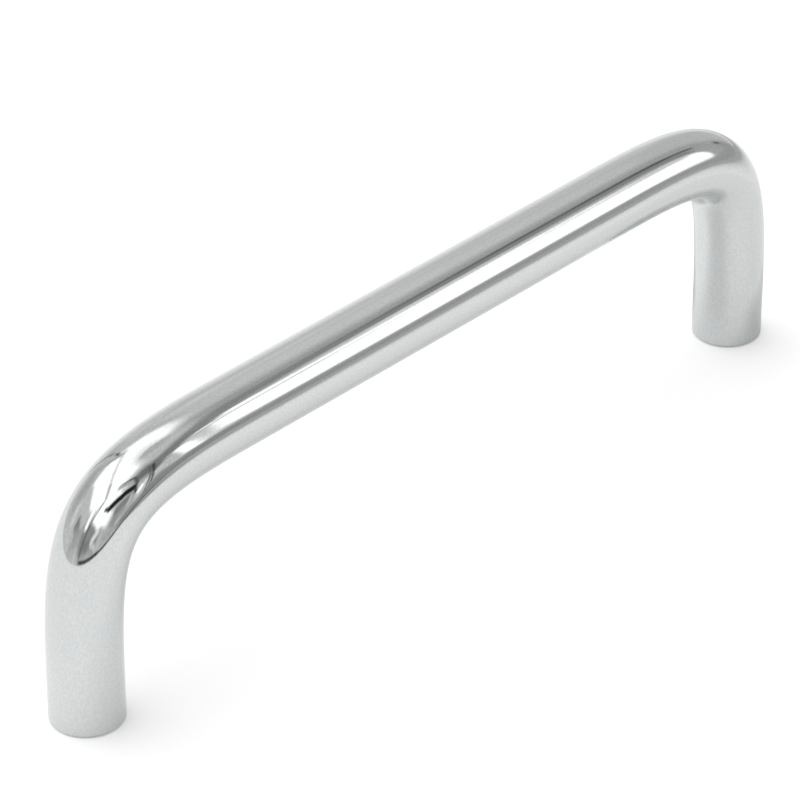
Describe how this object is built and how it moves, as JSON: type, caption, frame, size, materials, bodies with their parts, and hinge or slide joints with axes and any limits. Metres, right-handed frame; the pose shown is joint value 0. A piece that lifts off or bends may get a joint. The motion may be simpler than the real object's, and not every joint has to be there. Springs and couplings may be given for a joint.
{
  "type": "wire pull",
  "caption": "Chrome-plated wire pull: a round rod bent square at both ends into legs, with a tapped screw hole up each leg.",
  "frame": {"origin": "on the mounting plane, midway between the centres of the two feet", "axes": "+X along the grip from one leg to the other, +Y across the rod, +Z away from the surface that the pull is screwed to"},
  "size_m": [0.1096, 0.008, 0.0302],
  "materials": {
    "chrome": "bright polished chrome plate on steel"
  },
  "bodies": {
    "root": {"pull": "chrome"}
  },
  "joints": []
}
